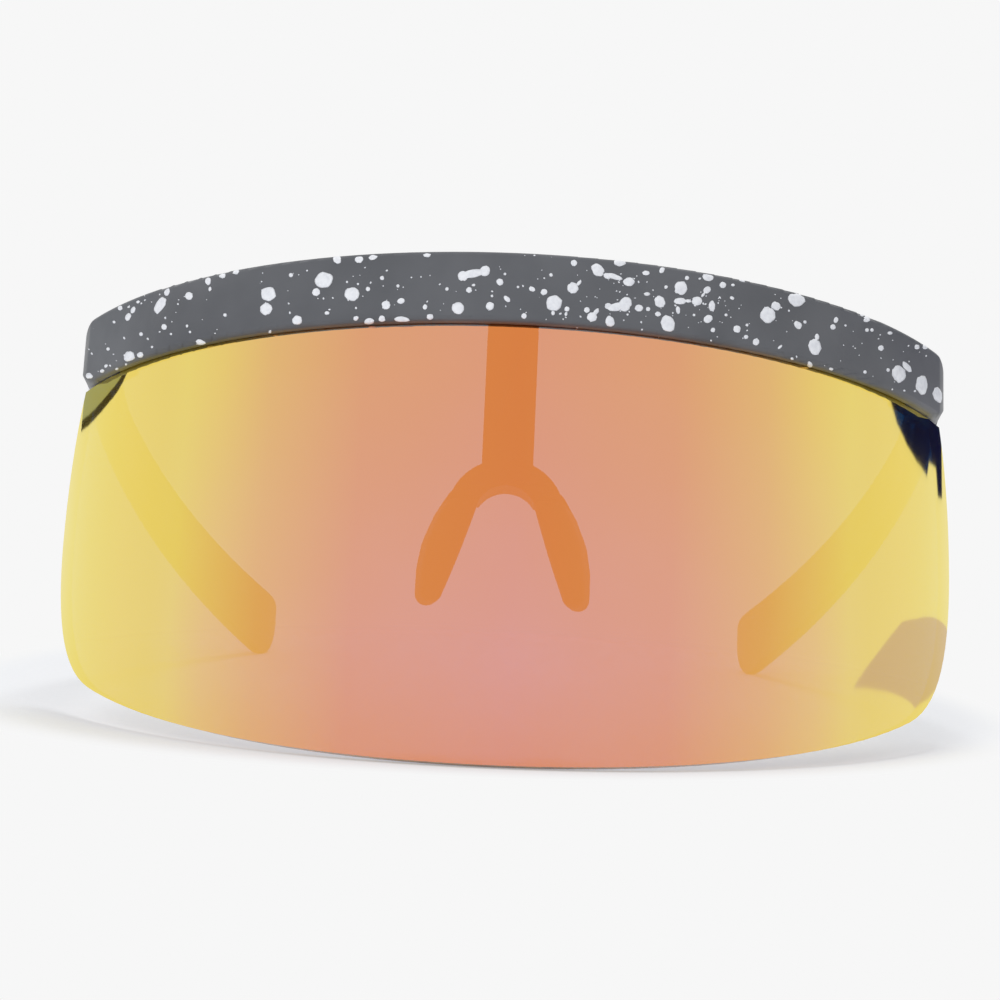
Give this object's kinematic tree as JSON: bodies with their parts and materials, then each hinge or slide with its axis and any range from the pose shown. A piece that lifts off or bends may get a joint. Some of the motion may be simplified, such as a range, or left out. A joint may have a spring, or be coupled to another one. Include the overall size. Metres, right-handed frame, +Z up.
{
  "type": "shield sunglasses",
  "caption": "Oversized shield sunglasses: a curved mirrored lens hangs from a moulded brow bar with a screwed-on nose bridge, soft pads and folding arms.",
  "frame": {"origin": "on the table under the middle of the box round the glasses as they stand, arms open", "axes": "+X to the viewer's right, +Y from the lens to the arm tips, +Z up; the glasses lean back 17 degrees on the lens's bottom edge and both arm tips"},
  "size_m": [0.1584, 0.1784, 0.0813],
  "materials": {
    "frame_plastic": "satin moulded grey with white paint splatter",
    "mirror_lens": "orange to yellow mirror coating, lightly see-through",
    "bridge_plastic": "satin moulded dark grey",
    "pad_rubber": "soft matt elastomer",
    "hinge_steel": "tumbled nickel silver",
    "screw_steel": "turned steel",
    "insert_brass": "turned brass",
    "core_wire": "drawn wire"
  },
  "bodies": {
    "front": {"brow_bar": "frame_plastic", "shield_lens": "mirror_lens", "nose_bridge": "bridge_plastic", "nose_pad_left": "pad_rubber", "nose_pad_right": "pad_rubber", "bridge_screws": "screw_steel", "bridge_inserts": "insert_brass", "front_hinge_left": "hinge_steel", "front_hinge_right": "hinge_steel", "hinge_screw_left": "screw_steel", "hinge_screw_right": "screw_steel", "front_hinge_screws_left": "screw_steel", "front_hinge_screws_right": "screw_steel"},
    "arm_left": {"temple_left": "frame_plastic", "temple_core_left": "core_wire", "temple_hinge_left": "hinge_steel", "temple_hinge_screws_left": "screw_steel"},
    "arm_right": {"temple_right": "frame_plastic", "temple_core_right": "core_wire", "temple_hinge_right": "hinge_steel", "temple_hinge_screws_right": "screw_steel"}
  },
  "joints": [
    {"name": "arm_left_fold", "type": "hinge", "parent": "front", "child": "arm_left", "pos_m": [-0.0725, -0.01815, 0.06048], "axis": [0, -0.2921, -0.9564], "range_deg": [0, 84]},
    {"name": "arm_right_fold", "type": "hinge", "parent": "front", "child": "arm_right", "pos_m": [0.0725, -0.01815, 0.06048], "axis": [0, 0.2921, 0.9564], "range_deg": [0, 76]}
  ]
}
